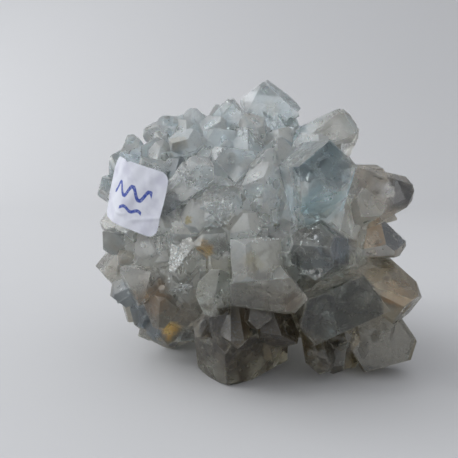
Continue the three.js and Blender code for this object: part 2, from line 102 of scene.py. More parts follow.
def faceNormal(h, k, l, taper=0.0):
    n = unit(np.array([h, k, l]) / cell)
    n[0] -= math.tan(math.radians(taper))
    return unit(n)


# The planes of one crystal, as normals and distances, in widths: its chisel tip is at the origin and its
# body runs down -X. Corners are worked out later as the points where three planes meet.
def crystalPlanes(tip, thick, length, shoulders, skew, taper):
    rows = []
    narrow = 0.1  # half the height of the narrow face on either side

    def plane(normal, through):
        rows.append((normal, normal @ np.array(through, float)))

    for side, shoulder in zip((1, -1), shoulders):
        plane(faceNormal(tip, side, 0), (0, skew, 0))
        plane(faceNormal(0, 0, side, taper), (0, 0, side * thick / 2))
        plane(faceNormal(1, 0, side), (-shoulder, 0, side * thick / 2))
        plane(faceNormal(0, side, 1, taper), (0, side / 2, narrow))
        plane(faceNormal(0, side, -1, taper), (0, side / 2, -narrow))
        plane(faceNormal(0, side, 0, taper), (0, side / 2, 0))
    plane(np.array([-1.0, 0, 0]), (-length, 0, 0))
    return np.array([r[0] for r in rows]), np.array([r[1] for r in rows])


touching = 3e-5  # a corner this close to a plane, in widths, lies on it


# The convex body inside the planes. Corner: the solution of n1.p = d1, n2.p = d2, n3.p = d3 that no other
# plane cuts off. Face: the corners on one plane, ordered by their angle round its middle.
def convexBody(normals, distances):
    trios = np.array(list(itertools.combinations(range(len(normals)), 3)))
    trios = trios[abs(np.linalg.det(normals[trios])) > 1e-4]  # nearly parallel planes share no corner
    corners = np.linalg.solve(normals[trios], distances[trios][..., None])[..., 0]
    corners = corners[(corners @ normals.T <= distances + 1e-6).all(1)]
    corners = np.unique(corners.round(5), axis=0)
    faces = []
    for n, d in zip(normals, distances):
        on = np.flatnonzero(abs(corners @ n - d) < touching)
        if len(on) < 3:
            continue
        away = corners[on] - corners[on].mean(0)
        across = unit(away[0])
        up = np.cross(n, across)
        faces.append(on[np.argsort(np.arctan2(away @ up, away @ across))].tolist())
    return corners, faces


# Each pair of neighbouring faces gets a third between them: real crystal edges are slightly blunt
def blunted(normals, distances, width):
    corners, faces = convexBody(normals, distances)
    extra = []
    for i, j in itertools.combinations(range(len(normals)), 2):
        away = abs(corners @ normals[[i, j]].T - distances[[i, j]])
        shared = np.flatnonzero((away < touching).all(1))
        if len(shared) > 1:
            between = unit(normals[i] + normals[j])
            extra.append((between, between @ corners[shared[0]] - width))
    if extra:
        normals = np.vstack([normals, [e[0] for e in extra]])
        distances = np.append(distances, [e[1] for e in extra])
    return convexBody(normals, distances)


# Whether every edge of the faces is used once each way
def isClosed(faces):
    edges = {(f[i - 1], f[i]) for f in faces for i in range(len(f))}
    return len(edges) == sum(len(f) for f in faces) and all((b, a) in edges for a, b in edges)


# The small crystals' forms, in widths. "tip" and "shoulder" shape the end, and "taper" is in degrees.
habits = {
    "seed": 3, "kinds": 40, "tip": (0.9, 2.0), "thick": (0.55, 0.95), "length": 1.6, "shoulder": (0.0, 0.25),
    "skew": 0.12, "taper": (0, 8), "blunt": 0.02,
}


def makeHabits(v):
    rng = np.random.default_rng(v["seed"])
    made = []
    for _ in range(v["kinds"]):
        planes = crystalPlanes(rng.uniform(*v["tip"]), rng.uniform(*v["thick"]), v["length"],
                               rng.uniform(*v["shoulder"], 2), rng.uniform(-v["skew"], v["skew"]),
                               rng.uniform(*v["taper"]))
        made.append(blunted(*planes, v["blunt"]) if v["blunt"] else convexBody(*planes))
    return [body for body in made if isClosed(body[1])]


# A turn that brings X to `along` and Z as near as it can to `facing`
def turns(along, facing):
    a = unit(along)
    b = unit(np.cross(facing, a))
    return np.stack([a, b, np.cross(a, b)], axis=-1)


def mergedCopy(node, name):
    mesh = frame["nodes"][node].data.copy()
    mesh.name = name
    work = bmesh.new()
    work.from_mesh(mesh)
    bmesh.ops.remove_doubles(work, verts=work.verts, dist=1e-7)
    work.to_mesh(mesh)
    work.free()
    mesh.materials.clear()
    return newPiece(name, mesh)


def meshArrays(mesh):
    points = np.zeros(len(mesh.vertices) * 3)
    mesh.vertices.foreach_get("co", points)
    mesh.calc_loop_triangles()
    triangles = np.zeros(len(mesh.loop_triangles) * 3, int)
    mesh.loop_triangles.foreach_get("vertices", triangles)
    return points.reshape(-1, 3), triangles.reshape(-1, 3)


def triangleNormals(points, triangles):
    a, b, c = points[triangles].transpose(1, 0, 2)
    cross = np.cross(b - a, c - a)
    area = np.linalg.norm(cross, axis=1) / 2
    return cross / np.maximum(2 * area, 1e-18)[:, None], area


def surface(solid):
    points, triangles = meshArrays(solid.data)
    return (points, triangles, *triangleNormals(points, triangles))


# The edges where two faces of the solid meet: their ends, the normals beside them, and how far the second
# face rises over the first, which is above zero in a crevice and below zero on a ridge
def meetings(points, triangles):
    normals, _ = triangleNormals(points, triangles)
    ends = triangles[:, [0, 1, 1, 2, 2, 0]].reshape(-1, 2)
    owner = np.repeat(np.arange(len(triangles)), 3)
    opposite = triangles[:, [2, 0, 1]].reshape(-1)
    key = np.sort(ends, axis=1)
    order = np.lexsort((key[:, 1], key[:, 0]))
    first, second = order[0::2], order[1::2]
    start, end = points[key[first, 0]], points[key[first, 1]]
    n1, n2 = normals[owner[first]], normals[owner[second]]
    rise = ((points[opposite[second]] - start) * n1).sum(1)
    return start, end, n1, n2, rise


# Random spots in crevices that rise by more than "rise" mm, or on ridges where that is below zero, and the
# way out there. The normals beside them lie further apart than the angle of cosine "turn".
def edgeSpots(rng, points, triangles, v, count):
    start, end, n1, n2, rise = meetings(points, triangles)
    steep = rise > v["rise"] * mm if v["rise"] > 0 else rise < v["rise"] * mm
    weight = np.linalg.norm(end - start, axis=1) * (steep & ((n1 * n2).sum(1) < v["turn"]))
    chosen = rng.choice(len(weight), count, p=weight / weight.sum())
    share = rng.uniform(0, 1, (count, 1))
    return start[chosen] * (1 - share) + end[chosen] * share, unit(n1[chosen] + n2[chosen])


# Triangles in one plane are one crystal face: returns each triangle's face number and its face's area. Two
# planes are the same where their directions and distances round to the same steps.
def crystalFaces(points, triangles):
    directionSteps, distanceStep = 60, 0.08 * mm
    normals, area = triangleNormals(points, triangles)
    level = (normals * points[triangles[:, 0]]).sum(1)
    key = np.column_stack([(normals * directionSteps).round(), (level / distanceStep).round()])
    _, face = np.unique(key, axis=0, return_inverse=True)
    face = face.reshape(-1)
    return face, np.bincount(face, area)[face]


# Sizes between two limits, in mm: the higher the power, the more of them are small
def drawSizes(rng, limits, count, power):
    low, high = limits
    return (low + (high - low) * rng.uniform(0, 1, count) ** power) * mm


def addFaceValues(mesh, name, values):
    mesh.attributes.new(name, "FLOAT", "FACE").data.foreach_set("value", np.asarray(values, np.float32))


splinterTone = 2


# Every face carries two values for the material: its crystal's own tone, from 0 to 1, or a splinter's, and
# how clear it is, from the frosted small crystals at 0 to the large ones at 1
def addBody(group, corners, faces, tone, clear=0.0):
    mesh = bpy.data.meshes.new("body")
    mesh.from_pydata(corners, [], faces)
    addFaceValues(mesh, "tone", np.full(len(faces), tone))
    addFaceValues(mesh, "clear", np.full(len(faces), clear))
    group.objects.link(bpy.data.objects.new("body", mesh))


# The faces of a prism of n sides, whose lower corners come first
def prismFaces(n):
    ends = [list(range(n - 1, -1, -1)), list(range(n, 2 * n))]
    return ends + [[i, (i + 1) % n, n + (i + 1) % n, n + i] for i in range(n)]


# Joins a group's bodies to the piece, or cuts them out of it, and removes them
def combine(piece, group, operation):
    join = piece.modifiers.new(operation, "BOOLEAN")
    join.operation = operation
    join.operand_type = "COLLECTION"
    join.collection = group
    join.solver = "MANIFOLD"
    result = bpy.data.meshes.new_from_object(piece.evaluated_get(bpy.context.evaluated_depsgraph_get()))
    piece.modifiers.clear()
    result.materials.clear()
    piece.data = result
    for part in list(group.objects):
        bpy.data.objects.remove(part)
    bpy.data.collections.remove(group)
    tell(f"{operation.lower()}: {len(result.polygons)} faces")


# Removes what a cut left floating: every closed shell with a volume above zero, apart from the largest. A gap
# inside the solid has a volume below zero and stays. Each shell is found by passing the lowest corner number
# along its triangles, and its volume is the sum of a.(b x c) / 6.
def dropCrumbs(piece):
    points, triangles = meshArrays(piece.data)
    shell = np.arange(len(points))
    while True:
        lower = shell.copy()
        np.minimum.at(lower, triangles.reshape(-1), np.repeat(shell[triangles].min(1), 3))
        lower = lower[lower]
        if (lower == shell).all():
            break
        shell = lower
    a, b, c = points[triangles].transpose(1, 0, 2)
    volume = np.bincount(shell[triangles[:, 0]], (a * np.cross(b, c)).sum(1) / 6, len(points))
    crumbs = (volume > 0) & (volume < volume.max())
    work = bmesh.new()
    work.from_mesh(piece.data)
    bmesh.ops.delete(work, geom=[w for w in work.verts if crumbs[shell[w.index]]], context="VERTS")
    work.to_mesh(piece.data)
    work.free()
    tell(f"{crumbs.sum()} crumbs removed, {(volume < 0).sum()} gaps kept")


# Growth steps: thin plates that lie on the large faces, along the face's own longer and shorter directions.
# Areas are in mm2 and heights in mm, and sizes are shares of the face's reach, the root of its area.
steps = {
    "seed": 11, "tries": 5, "leastArea": 14, "spread": 0.15, "size": (0.2, 0.55), "narrow": (0.5, 0.9),
    "margin": 1.05, "height": (0.03, 0.10), "sunk": 0.6, "levels": 2, "shrink": 0.78, "bevel": 0.94,
    "clear": 0.9,
}


# A plate's six corners: uneven angles, in degrees, and uneven reaches round 1
def stepOutline(rng):
    turn = np.radians([8, 62, 118, 172, 242, 298]) + rng.uniform(-0.16, 0.16, 6)
    return np.column_stack([np.cos(turn), np.sin(turn)]) * rng.uniform(0.8, 1.15, (6, 1))


# Whether each point lies in any of the triangles of a face: the three edges' cross products share a sign
def insideFace(spots, corners):
    a, b, c = corners.transpose(1, 0, 2)
    p = spots[:, None]

    def side(u, v):
        return (v - u)[:, 0] * (p - u)[..., 1] - (v - u)[:, 1] * (p - u)[..., 0]

    s = np.stack([side(a, b), side(b, c), side(c, a)])
    return ((s >= 0).all(0) | (s <= 0).all(0)).any(1)


def growSteps(solid, v):
    rng = np.random.default_rng(v["seed"])
    points, triangles, normals, _ = surface(solid)
    face, faceArea = crystalFaces(points, triangles)
    plates = bpy.data.collections.new("plates")
    prism = prismFaces(6)
    for number in np.unique(face[faceArea > v["leastArea"] * mm * mm]):
        mine = face == number
        corners = points[triangles[mine]]
        normal = normals[mine][0]
        middle = corners.reshape(-1, 3).mean(0)
        spread = corners.reshape(-1, 3) - middle
        main = np.linalg.svd(spread, full_matrices=False)[2][0]
        main = unit(main - normal * (main @ normal))
        other = np.cross(normal, main)
        flat = np.stack([(corners - middle) @ main, (corners - middle) @ other], -1)
        reach = math.sqrt(faceArea[mine][0])
        for _ in range(v["tries"]):
            place = flat[rng.integers(len(flat))].mean(0) + rng.normal(size=2) * reach * v["spread"]
            size = reach * rng.uniform(*v["size"])
            outline = stepOutline(rng) * size * [1, rng.uniform(*v["narrow"])]
            if not insideFace(place + outline * v["margin"], flat).all():
                continue
            height = rng.uniform(*v["height"]) * mm
            for level in range(rng.integers(1, v["levels"] + 1)):
                rings = []
                for z, scale in (((level - v["sunk"]) * height, 1.0), ((level + 1) * height, v["bevel"])):
                    ring = place + outline * v["shrink"] ** level * scale
                    rings.append(middle + ring[:, :1] * main + ring[:, 1:] * other + normal * z)
                addBody(plates, np.vstack(rings), prism, rng.uniform(), v["clear"])
    return plates


# The label: a bent sheet of paper, measured in mm from its middle. Left of the fold it lies further back. The
# tear is a place, a depth and half a width. Crystals stay "around" off its edges and "behind" its back.
labelPaper = {
    "width": 20, "height": 16.4, "thick": 0.13, "corner": 2.4,
    "foldFrom": -4.5, "foldTo": 1.5, "foldAngle": 37,
    "centre": (-31, -20, 47.7), "across": (0.906, -0.323, -0.274), "up": (0.259, -0.092, 0.962),
    "steps": (97, 61), "tear": (-3.0, 0.45, 1.1), "around": 0.7, "behind": 1,
}


def labelAxes(v):
    across = unit(v["across"])
    normal = unit(np.cross(across, v["up"]))
    return np.array([across, np.cross(normal, across), normal])


# Whether a body stands before the label or too close around it, at its corners or between two of them
def hidesLabel(v, corners):
    pairs = (corners[:, None] + corners[None]).reshape(-1, 3) / 2
    side, up, out = labelAxes(v) @ (pairs / mm - v["centre"]).T
    lean = np.minimum(side - (v["foldFrom"] + v["foldTo"]) / 2, 0) * math.sin(math.radians(v["foldAngle"]))
    beside = (abs(side) < v["width"] / 2 + v["around"]) & (abs(up) < v["height"] / 2 + v["around"])
    return (beside & (out > lean - v["behind"])).any()


# The crust: small crystals of many sizes, in mm, grown between and over the others. A tip stands out by
# "stand" sizes. The share "seams" grows in crevices, and the rest on faces of up to "largest" mm2.
crusts = [
    {"seed": 5, "count": 240, "size": (3.0, 5.5), "stand": (0.25, 0.55), "lean": 0.25, "seams": 1.0,
     "middle": (-16, -6, 50), "radius": 34, "largest": 40},
    {"seed": 6, "count": 560, "size": (1.3, 3.2), "stand": (0.25, 0.6), "lean": 0.3, "seams": 0.85,
     "middle": (-14, -8, 48), "radius": 38, "largest": 30},
    {"seed": 7, "count": 420, "size": (1.2, 3.0), "stand": (0.15, 0.5), "lean": 0.4, "seams": 1.0,
     "middle": (0, 0, 36), "radius": 70, "largest": 1000},
]


# The crust's crystals lean away from the heart of the cluster, and stay clear of the ground
growth = {"rise": 0.2, "turn": 0.9, "heart": (-4, 2, 36), "outwards": 0.6, "lowestTip": 2, "lowest": 0.4}

# Places that the crust leaves free: middle and reach
bare = [((14, -34, 55), 9), ((14.5, -32, 47), 8), ((13, -36, 36), 5), ((36, -14, 46), 5)]


def growCrust(solid, v, kinds, group):
    rng = np.random.default_rng(v["seed"])
    points, triangles, normals, area = surface(solid)
    _, faceArea = crystalFaces(points, triangles)
    onSeams = int(v["count"] * v["seams"])
    onFaces = v["count"] - onSeams
    feet, out = edgeSpots(rng, points, triangles, growth, onSeams)
    if onFaces:
        weight = area * (faceArea < v["largest"] * mm * mm)
        chosen = rng.choice(len(area), onFaces, p=weight / weight.sum())
        share = rng.dirichlet((1, 1, 1), onFaces)
        feet = np.vstack([feet, (points[triangles[chosen]] * share[..., None]).sum(1)])
        out = np.vstack([out, normals[chosen]])
    outwards = unit(feet - np.array(growth["heart"]) * mm)
    out = unit(out + growth["outwards"] * outwards + v["lean"] * rng.normal(size=feet.shape))
    sizes = drawSizes(rng, v["size"], len(feet), 1.5)
    tips = feet + out * (sizes * rng.uniform(*v["stand"], len(feet)))[:, None]
    axes = turns(out, rng.normal(size=feet.shape))
    near = np.linalg.norm(tips - np.array(v["middle"]) * mm, axis=1) < v["radius"] * mm
    for place, reach in bare:
        near &= np.linalg.norm(tips - np.array(place) * mm, axis=1) > reach * mm
    for i in np.flatnonzero(near & (tips[:, 2] > growth["lowestTip"] * mm)):
        corners, faces = kinds[rng.integers(len(kinds))]
        body = corners @ axes[i].T * sizes[i] + tips[i]
        if not hidesLabel(labelPaper, body) and body[:, 2].min() > growth["lowest"] * mm:
            addBody(group, body, faces, rng.uniform())


# Veils: flat healed cracks inside the large crystals, each a thin air gap between two curved surfaces. Over a
# disc of radius r and angle t: height = bend * r^2 + ripple, and half the gap = gap * (1.15 - r^2).
veils = {
    "seed": 17, "leastArea": 45, "usualArea": 90, "perFace": 0.9, "most": 2.5, "radius": (1.2, 3.6),
    "gap": 0.05, "depth": (1.1, 2.2), "rings": 5, "spokes": 14,
}


# The faces of a closed disc. Its upper points come ring by ring from the middle, and then its lower ones.
def discFaces(rings, spokes):
    below = rings * spokes
    i, j = np.meshgrid(np.arange(rings - 1), np.arange(spokes), indexing="ij")
    a, b = i * spokes + j, i * spokes + (j + 1) % spokes
    upper = np.stack([a, a + spokes, b + spokes, b], -1).reshape(-1, 4)
    lower = upper[:, ::-1] + below
    rim = below - spokes + np.arange(spokes)
    after = np.roll(rim, -1)
    side = np.column_stack([rim, below + rim, below + after, after])
    caps = [list(range(spokes)), list(range(below + spokes - 1, below - 1, -1))]
    return upper.tolist() + lower.tolist() + side.tolist() + caps


def growVeils(solid, v):
    rng = np.random.default_rng(v["seed"])
    points, triangles, normals, area = surface(solid)
    face, faceArea = crystalFaces(points, triangles)
    group = bpy.data.collections.new("veils")
    faces = discFaces(v["rings"], v["spokes"])
    turn = np.linspace(0, 2 * np.pi, v["spokes"], endpoint=False)
    r, t = np.meshgrid(np.linspace(0.2, 1, v["rings"]), turn, indexing="ij")
    for number in np.unique(face[faceArea > v["leastArea"] * mm * mm]):
        mine = np.flatnonzero(face == number)
        many = v["perFace"] * min(faceArea[mine[0]] / (v["usualArea"] * mm * mm), v["most"])
        for _ in range(rng.poisson(many)):
            pick = mine[rng.choice(len(mine), p=area[mine] / area[mine].sum())]
            spot = (points[triangles[pick]] * rng.dirichlet((2, 2, 2))[:, None]).sum(0)
            size = rng.uniform(*v["radius"]) * mm
            spot = spot - normals[pick] * rng.uniform(*v["depth"]) * size
            wobble = 1 + 0.18 * np.sin(2 * t + rng.uniform(0, 6)) + 0.1 * np.sin(5 * t + rng.uniform(0, 6))
            x = r * wobble * np.cos(t)
            y = r * wobble * np.sin(t) * rng.uniform(0.4, 0.9)
            z = rng.uniform(-0.2, 0.2) * r ** 2 + 0.02 * np.sin(7 * x + rng.uniform(0, 6))
            half = v["gap"] * mm * (1.15 - r ** 2)
            axes = turns(rng.normal(size=3), rng.normal(size=3))
            sheets = [np.stack([x * size, y * size, z * size + s * half], -1).reshape(-1, 3) for s in (1, -1)]
            addBody(group, np.vstack(sheets) @ axes.T + spot, faces, 0.5, 1)
    return group


# Chips: small shells knocked out of the ridges
chips = {
    "seed": 23, "count": 170, "size": (0.2, 0.8), "lift": 0.7, "stretch": (0.7, 1.6),
    "rise": -0.3, "turn": 0.75,
}


def growChips(solid, v):
    rng = np.random.default_rng(v["seed"])
    spots, out = edgeSpots(rng, *meshArrays(solid.data), v, v["count"])
    sizes = drawSizes(rng, v["size"], v["count"], 2)
    ball = bmesh.new()
    bmesh.ops.create_icosphere(ball, subdivisions=2, radius=1)
    shape = np.array([w.co for w in ball.verts])
    faces = [[w.index for w in f.verts] for f in ball.faces]
    ball.free()
    group = bpy.data.collections.new("chips")
    for i in range(v["count"]):
        stretch = rng.uniform(*v["stretch"], 3)
        axes = turns(rng.normal(size=3), rng.normal(size=3))
        body = (shape * stretch) @ axes.T * sizes[i] + spots[i] + out[i] * sizes[i] * v["lift"]
        addBody(group, body, faces, 0.6)
    return group


# Facets that the blue crystal and the crown have beside the solid's own: a point, the way the facet looks,
# and the radius, in mm, of the piece that is cut off in front of it
facets = [
    ("lower middle of the blue crystal", (14.5, -32.1, 51), (0.3, -0.8, -0.52), 9),
    ("lower right of the blue crystal", (19.8, -30.2, 49.5), (0.72, -0.62, -0.3), 6),
    ("lower left of the blue crystal", (9, -32.8, 49.5), (-0.42, -0.8, -0.42), 5),
    ("left edge of the crown", (-0.7, 2.7, 73), (-0.67, -0.73, 0.02), 7),
]


def cutFacets(rows):
    cut = bpy.data.collections.new("facets")
    sides, depth = 8, 6
    turn = np.radians(np.arange(sides) * 360 / sides)
    ring = np.column_stack([np.zeros(sides), np.cos(turn), np.sin(turn)])
    for _, place, facing, width in rows:
        axes = turns(facing, (0.3, 0.2, 1))
        body = np.vstack([ring * width, ring * width + [depth, 0, 0]]) @ axes.T + place
        addBody(cut, body * mm, prismFaces(sides), 0.5, 1)
    return cut


# Single crystals that fill gaps at the feet, round the label and on the crest: tip, direction, width, and the
# way the broad face looks, where that matters
fillers = [
    ("foot between the feet", (18.5, -24.5, 3), (0.15, -0.55, -0.8), 11, None),
    ("behind the gap", (11.5, -16, 9.5), (-0.1, -0.6, -0.8), 9, None),
    ("beside the right foot", (23.5, -22, 8), (0.3, -0.6, -0.7), 8, None),
    ("under the keel", (15.5, -27.5, 13.5), (-0.2, -0.8, -0.55), 8, None),
    ("left of the right foot", (26.3, -17.5, 1.2), (0.1, -0.3, -0.95), 10, None),
    ("over the left edge of the label", (-39, -1, 59.3), (-0.5, -0.1, 0.85), 16, None),
    ("left of the label", (-43.3, -1, 50.5), (-0.9, -0.1, 0.35), 10, None),
    ("notch over the label", (-28, -8, 61.8), (-0.5, -0.2, 0.85), 10, None),
    ("end of the crest", (-6.7, -2, 74.2), (-0.1, -0.2, 1), 15, None),
    ("under the left edge of the label", (-40.5, -11, 34.6), (-0.95, -0.25, 0), 8, None),
    ("brown column over the front foot", (-6.8, -29.3, 10.5), (0.05, -0.2, -0.97), 9.5, (-0.1, -0.97, -0.2)),
]


fillerShape = {"seed": 41, "stretch": (1.6, 1, 1), "clear": 0.8}


def growFillers(rows, kinds, v, group):
    rng = np.random.default_rng(v["seed"])
    for _, tip, along, width, facing in rows:
        corners, faces = kinds[rng.integers(len(kinds))]
        axes = turns(along, facing or rng.normal(size=3))
        body = (corners * v["stretch"] @ axes.T * width + tip) * mm
        addBody(group, body, faces, rng.uniform(), v["clear"])


# Crushed places, where the crystals are broken into glittering splinters: middle, reach and number
crushed = [
    ("left of the band under the label", (-23.7, -19.6, 33.4), 2.2, 50),
    ("right of the band under the label", (-18.6, -25.2, 33), 3.2, 150),
    ("beside the label", (-16, -24, 52), 4, 60),
    ("middle", (-7.5, -25.5, 45.5), 4, 70),
    ("over the pale crystal", (3, -26, 38.5), 3, 15),
    ("under the label", (-25, -20, 38), 3.5, 30),
    ("foot of the dark crystal", (13.1, -34.4, 31), 2, 5),
    ("pale shelf", (5.6, -36.4, 28.8), 1.6, 8),
    ("knob", (-18.2, -21.9, 26), 3, 45),
    ("right of the rust", (-4.5, -28, 34.5), 3, 25),
    ("ridge of the dark crystal", (12.2, -35.4, 40), 1.5, 10),
    ("top of the pale crystal", (3.2, -35.5, 41), 1.8, 25),
    ("crest", (-20, -12, 64), 3, 15),
    ("left of the crest", (-27.5, -6, 63.9), 1.5, 14),
    ("upper edge of the label", (-33.5, -8.5, 58.5), 1.5, 8),
    ("upper middle", (-11.2, -11.2, 59.5), 1.5, 10),
    ("beside the blue crystal", (-7.6, -20.3, 58.3), 1.5, 12),
    ("lower left", (-27.5, -21, 21), 1.5, 10),
]


splinters = {"seed": 29, "size": (0.2, 0.55), "stretch": (0.7, 0.8, 0.6), "lean": 0.7, "stand": (0.1, 0.6)}


# Splinters stand on the faces of a crushed place, thickest at its middle: exp(-(1.6 * distance / reach)^2)
def growSplinters(solid, rows, kinds, v):
    rng = np.random.default_rng(v["seed"])
    points, triangles, normals, area = surface(solid)
    middle = points[triangles].mean(1)
    group = bpy.data.collections.new("splinters")
    for _, place, reach, count in rows:
        weight = area * np.exp(-((middle - np.array(place) * mm) ** 2).sum(1) / (reach * mm / 1.6) ** 2)
        for pick in rng.choice(len(area), count, p=weight / weight.sum()):
            spot = (points[triangles[pick]] * rng.dirichlet((1, 1, 1))[:, None]).sum(0)
            size = rng.uniform(*v["size"]) * mm
            way = unit(normals[pick] + v["lean"] * rng.normal(size=3))
            corners, faces = kinds[rng.integers(len(kinds))]
            axes = turns(way, rng.normal(size=3))
            body = corners * v["stretch"] @ axes.T * size + spot + way * size * rng.uniform(*v["stand"])
            if not hidesLabel(labelPaper, body):
                addBody(group, body, faces, splinterTone)
    return group


cluster = mergedCopy("crystal_cluster", "celestite_cluster")
kinds = makeHabits(habits)
shards = makeHabits({**habits, "seed": 4, "blunt": 0})
# Each face of the solid has a tone. Faces are frosted up to 10 mm2, and clear from 50 mm2 on.
faceNumber, faceArea = crystalFaces(*meshArrays(cluster.data))
faceTones = np.random.default_rng(2).uniform(0, 1, faceNumber.max() + 1)
addFaceValues(cluster.data, "tone", faceTones[faceNumber])
addFaceValues(cluster.data, "clear", np.clip(faceArea / (mm * mm) / 40 - 0.25, 0, 1))
combine(cluster, cutFacets(facets), "DIFFERENCE")
gaps = growVeils(cluster, veils)
grains = bpy.data.collections.new("grains")
for layer in crusts:
    growCrust(cluster, layer, kinds, grains)
growFillers(fillers, kinds, fillerShape, grains)
combine(cluster, growSteps(cluster, steps), "UNION")
combine(cluster, grains, "UNION")
combine(cluster, growSplinters(cluster, crushed, shards, splinters), "UNION")
combine(cluster, growChips(cluster, chips), "DIFFERENCE")
combine(cluster, gaps, "DIFFERENCE")
dropCrumbs(cluster)


# The paper's small unevenness, in mm, at a flat place (x, y): broad waves, soft creases and a buckle, each a
# narrow ridge exp(-(distance / width)^2) along a curve, and the upper right corner, which has come loose
def paperRise(x, y):
    waves = 0.09 * np.sin(0.55 * x + 0.8) * np.cos(0.42 * y - 0.5) + 0.04 * np.sin(1.3 * x - 0.9 * y)
    arc = y + 5.3 - 0.12 * (x + 2) ** 2
    crease = 0.14 * np.exp(-(arc / 0.35) ** 2 - ((x + 2) / 2.6) ** 2)
    slant = y + 6.6 - 0.38 * x
    crease += 0.16 * np.exp(-(slant / 0.5) ** 2) / (1 + np.exp(-(x - 2.5) * 1.5))
    buckle = 0.12 * np.exp(-((x - 6.5 + 0.3 * y) / 0.8) ** 2 - ((y - 5) / 3) ** 2)
    loose = 0.5 * np.clip((x - 7) / 3, 0, 1) ** 2 * np.clip((y - 4) / 4.2, 0, 1) ** 2
    return 1.3 * (waves + crease + buckle) + loose


# The sheet's flat places: rows run from the lower to the upper edge. The corners are rounded, and the upper
# edge is frayed and has a tear.
def flatPaper(v):
    columns, rows = v["steps"]
    x = v["width"] / 2 * np.sin(np.linspace(-np.pi / 2, np.pi / 2, columns))
    inset = np.clip((abs(x) - v["width"] / 2 + v["corner"]) / v["corner"], 0, 1)
    half = v["height"] / 2 - v["corner"] * (1 - np.sqrt(1 - inset ** 2))
    place, depth, width = v["tear"]
    frayed = 0.05 * np.sin(3.1 * x) * np.sin(7.7 * x + 1)
    top = half + frayed - depth * np.maximum(1 - abs(x - place) / width, 0)
    y = -half + np.linspace(0, 1, rows)[:, None] * (top + half)
    return np.broadcast_to(x, y.shape), y


# Bends the flat places round the fold, an arc whose radius is its length over its angle, and lifts them
def foldPaper(v, x, y, lift):
    whole = math.radians(v["foldAngle"])
    radius = (v["foldTo"] - v["foldFrom"]) / whole
    lean = np.clip((v["foldTo"] - x) / radius, 0, whole)
    beyond = np.maximum(v["foldFrom"] - x, 0)
    side = np.where(x > v["foldTo"], x, v["foldTo"] - radius * np.sin(lean) - beyond * np.cos(whole))
    out = -radius * (1 - np.cos(lean)) - beyond * np.sin(lean)
    rise = paperRise(x, y) + lift
    return np.stack([side - rise * np.sin(lean), y, out + rise * np.cos(lean)], -1).reshape(-1, 3)


# The faces of a closed sheet: its front's rows of points come first, and then its back's
def sheetFaces(columns, rows):
    i, j = np.meshgrid(np.arange(rows - 1), np.arange(columns - 1), indexing="ij")
    a = (i * columns + j).reshape(-1)
    front = np.column_stack([a, a + 1, a + columns + 1, a + columns])
    last = rows * columns
    rim = np.concatenate([np.arange(columns), np.arange(1, rows) * columns + columns - 1,
                          last - 2 - np.arange(columns - 1), np.arange(rows - 2, -1, -1) * columns])
    edge = np.column_stack([rim[1:], rim[:-1], rim[:-1] + last, rim[1:] + last])
    return np.vstack([front, front[:, ::-1] + last, edge])


def makeLabel(v):
    x, y = flatPaper(v)
    sheets = [foldPaper(v, x, y, lift) for lift in (v["thick"] / 2, -v["thick"] / 2)]
    points = (np.vstack(sheets) @ labelAxes(v) + v["centre"]) * mm
    quads = sheetFaces(*v["steps"])
    mesh = bpy.data.meshes.new("paper_sticker")
    mesh.from_pydata(points, [], quads.tolist())
    flat = np.column_stack([x.reshape(-1), y.reshape(-1)]) / v["width"] + 0.5
    uv = np.vstack([flat, flat])[quads.reshape(-1)]
    mesh.uv_layers.new(name="paper").data.foreach_set("uv", uv.astype(np.float32).reshape(-1))
    mesh.shade_smooth()
    mesh.set_sharp_from_angle(angle=math.radians(40))
    return newPiece("paper_sticker", mesh)


label = makeLabel(labelPaper)
tell("label laid on")


def newMaterial(name):
    material = bpy.data.materials.new(name)
    material.use_nodes = True
    return material, material.node_tree, material.node_tree.nodes["Principled BSDF"]


# Sets a node's inputs to values, or links them to other nodes' outputs
def setInputs(tree, node, inputs):
    for name, value in inputs.items():
        if isinstance(value, bpy.types.NodeSocket):
            tree.links.new(value, node.inputs[name])
        else:
            node.inputs[name].default_value = value


def addNode(tree, kind, inputs, **settings):
    node = tree.nodes.new("ShaderNode" + kind)
    for name, value in settings.items():
        setattr(node, name, value)
    setInputs(tree, node, inputs)
    return node


# The mixing node's inputs 6 and 7 and its output 2 are its colours
def mixColour(tree, share, first, second):
    return addNode(tree, "Mix", {0: share, 6: first, 7: second}, data_type="RGBA").outputs[2]


def calc(tree, operation, first, second=0.0):
    return addNode(tree, "Math", {0: first, 1: second}, operation=operation).outputs[0]


def times(tree, first, second):
    return calc(tree, "MULTIPLY", first, second)


# The value carried smoothly from one pair of limits to another
def ramp(tree, value, low, high, start=0.0, end=1.0):
    inputs = {"Value": value, "From Min": low, "From Max": high, "To Min": start, "To Max": end}
    return addNode(tree, "MapRange", inputs, interpolation_type="SMOOTHSTEP").outputs["Result"]


def noise(tree, where, size, detail=3.0, roughness=0.55, distortion=0.0):
    inputs = {"Vector": where, "Scale": 1 / size, "Detail": detail, "Roughness": roughness}
    return addNode(tree, "TexNoise", {**inputs, "Distortion": distortion}).outputs["Fac"]


def bump(tree, height, strength, distance, normal=None):
    inputs = {"Height": height, "Strength": strength, "Distance": distance}
    if normal is not None:
        inputs["Normal"] = normal
    return addNode(tree, "Bump", inputs).outputs[0]


def vectorCalc(tree, operation, first, second, output="Vector"):
    return addNode(tree, "VectorMath", {0: first, 1: second}, operation=operation).outputs[output]


# A shift of up to half the size either way, out of a texture's colour
def scatter(tree, colour, size):
    centred = vectorCalc(tree, "SUBTRACT", colour, (0.5, 0.5, 0.5))
    return addNode(tree, "VectorMath", {0: centred, "Scale": size}, operation="SCALE").outputs[0]


